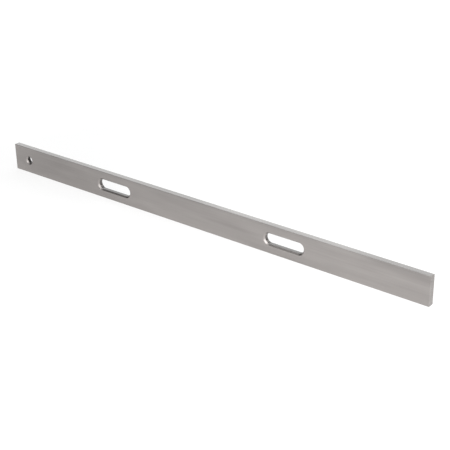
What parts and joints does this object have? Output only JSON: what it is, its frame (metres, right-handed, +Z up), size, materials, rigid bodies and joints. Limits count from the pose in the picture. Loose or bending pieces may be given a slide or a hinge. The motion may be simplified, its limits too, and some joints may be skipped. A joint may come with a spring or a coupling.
{
  "type": "straight edge",
  "caption": "Ground steel straight edge: a flat bar with true long edges for checking flatness, obround hand holes and a round hole to hang it by.",
  "frame": {"origin": "middle of the lower working edge, on the surface that the bar stands on", "axes": "+Z up, from the lower working edge to the upper one; +X along the length, away from the hanging hole; the front side faces -Y"},
  "size_m": [0.9144, 0.0112, 0.0508],
  "materials": {
    "ground_steel": "fine ground, satin"
  },
  "bodies": {
    "root": {"straight_edge_bar": "ground_steel"}
  },
  "joints": []
}
